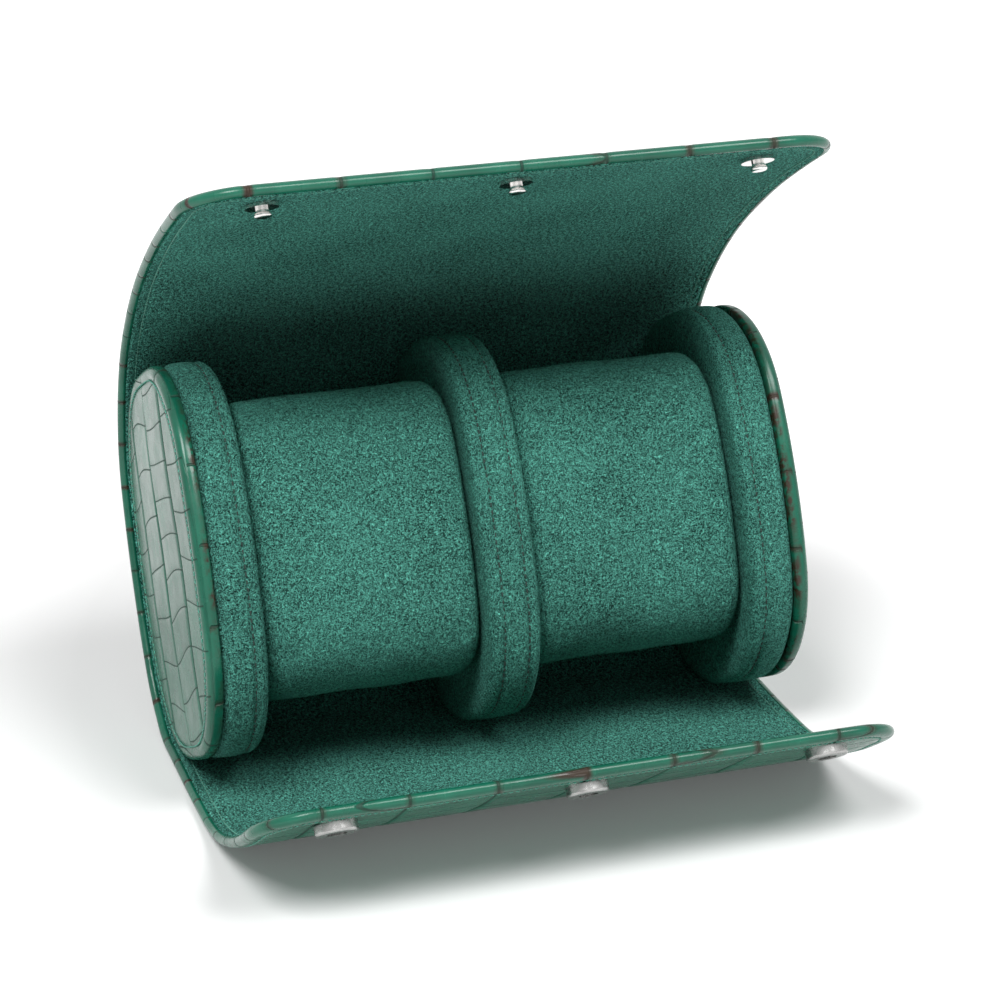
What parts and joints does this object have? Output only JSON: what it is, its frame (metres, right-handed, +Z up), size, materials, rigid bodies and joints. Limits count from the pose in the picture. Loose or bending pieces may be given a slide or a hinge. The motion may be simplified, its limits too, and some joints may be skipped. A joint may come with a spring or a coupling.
{
  "type": "watch travel case",
  "caption": "Oval leather roll with a padded divider and padded ends, a lid flap and a front flap that curl over and press together with snaps, and lift-out watch pillows.",
  "frame": {"origin": "on the floor, on the flat base under the roll, midway between the two ends", "axes": "+X along the roll to the right-hand end, -Y to the front flap, +Z up"},
  "size_m": [0.156, 0.1469, 0.1608],
  "materials": {
    "embossed_leather": "glossy, embossed with reptile scales",
    "board": "raw pressed board",
    "suede_lining": "short-nap suede",
    "suede_pad": "short-nap suede",
    "suede_pillow": "short-nap suede",
    "foam": "open foam",
    "polished_metal": "polished",
    "cap_metal": "polished",
    "satin_metal": "satin",
    "spring_wire": "drawn wire"
  },
  "bodies": {
    "root": {"back_leather": "embossed_leather", "left_end_leather": "embossed_leather", "right_end_leather": "embossed_leather", "back_board": "board", "left_end_board": "board", "right_end_board": "board", "back_lining": "suede_lining", "left_pad_face": "suede_pad", "left_pad_band": "suede_pad", "left_pad_foam": "foam", "right_pad_face": "suede_pad", "right_pad_band": "suede_pad", "right_pad_foam": "foam", "divider_left_face": "suede_pad", "divider_right_face": "suede_pad", "divider_band": "suede_pad", "divider_foam": "foam"},
    "lid_1": {"lid_leather_1": "embossed_leather", "lid_board_1": "board", "lid_lining_1": "suede_lining"},
    "front_1": {"front_leather_1": "embossed_leather", "front_board_1": "board", "front_lining_1": "suede_lining"},
    "lid_2": {"lid_leather_2": "embossed_leather", "lid_board_2": "board", "lid_lining_2": "suede_lining"},
    "front_2": {"front_leather_2": "embossed_leather", "front_board_2": "board", "front_lining_2": "suede_lining"},
    "lid_3": {"lid_leather_3": "embossed_leather", "lid_board_3": "board", "lid_lining_3": "suede_lining"},
    "front_3": {"front_leather_3": "embossed_leather", "front_board_3": "board", "front_lining_3": "suede_lining"},
    "lid_4": {"lid_leather_4": "embossed_leather", "lid_board_4": "board", "lid_lining_4": "suede_lining", "lid_studs": "polished_metal", "lid_stud_caps": "cap_metal"},
    "front_4": {"front_leather_4": "embossed_leather", "front_board_4": "board", "front_lining_4": "suede_lining", "front_sockets": "satin_metal", "front_socket_springs": "spring_wire", "front_socket_anchors": "satin_metal"},
    "left_pillow": {"left_pillow_sleeve": "suede_pillow", "left_pillow_ends": "suede_pillow", "left_pillow_foam": "foam"},
    "right_pillow": {"right_pillow_sleeve": "suede_pillow", "right_pillow_ends": "suede_pillow", "right_pillow_foam": "foam"}
  },
  "joints": [
    {"name": "lid_swing", "type": "hinge", "parent": "root", "child": "lid_1", "pos_m": [0, 0.04379, 0.06688], "axis": [1, 0, 0], "range_deg": [0, 2.5]},
    {"name": "lid_curl", "type": "hinge", "parent": "lid_1", "child": "lid_2", "pos_m": [0, 0.0314, 0.09833], "axis": [1, 0, 0], "range_deg": [0, 17.4]},
    {"name": "lid_curl_2", "type": "hinge", "parent": "lid_2", "child": "lid_3", "pos_m": [0, 0.00736, 0.12259], "axis": [1, 0, 0], "range_deg": [0, 50.55]},
    {"name": "lid_curl_3", "type": "hinge", "parent": "lid_3", "child": "lid_4", "pos_m": [0, -0.02093, 0.14185], "axis": [1, 0, 0], "range_deg": [0, 20.25]},
    {"name": "front_swing", "type": "hinge", "parent": "root", "child": "front_1", "pos_m": [0, -0.01687, 0.0027], "axis": [-1, 0, 0], "range_deg": [0, 35.3]},
    {"name": "front_curl", "type": "hinge", "parent": "front_1", "child": "front_2", "pos_m": [0, -0.03936, 0.00329], "axis": [-1, 0, 0], "range_deg": [0, 12.92]},
    {"name": "front_curl_2", "type": "hinge", "parent": "front_2", "child": "front_3", "pos_m": [0, -0.06106, 0.0087], "axis": [-1, 0, 0], "range_deg": [0, 26.05]},
    {"name": "front_curl_3", "type": "hinge", "parent": "front_3", "child": "front_4", "pos_m": [0, -0.08052, 0.01994], "axis": [-1, 0, 0], "range_deg": [0, 6.81]},
    {"name": "left_pillow_slide", "type": "slide", "parent": "root", "child": "left_pillow", "axis": [0, 0.887, -0.4617], "range_m": [-0.06, 0]},
    {"name": "right_pillow_slide", "type": "slide", "parent": "root", "child": "right_pillow", "axis": [0, 0.887, -0.4617], "range_m": [-0.06, 0]}
  ],
  "couplings": [
    {"joint": "lid_curl_2", "follows": "lid_curl", "ratio": 2.9053},
    {"joint": "lid_curl_3", "follows": "lid_curl", "ratio": 1.1641},
    {"joint": "front_curl_2", "follows": "front_curl", "ratio": 2.0155},
    {"joint": "front_curl_3", "follows": "front_curl", "ratio": 0.5267}
  ]
}
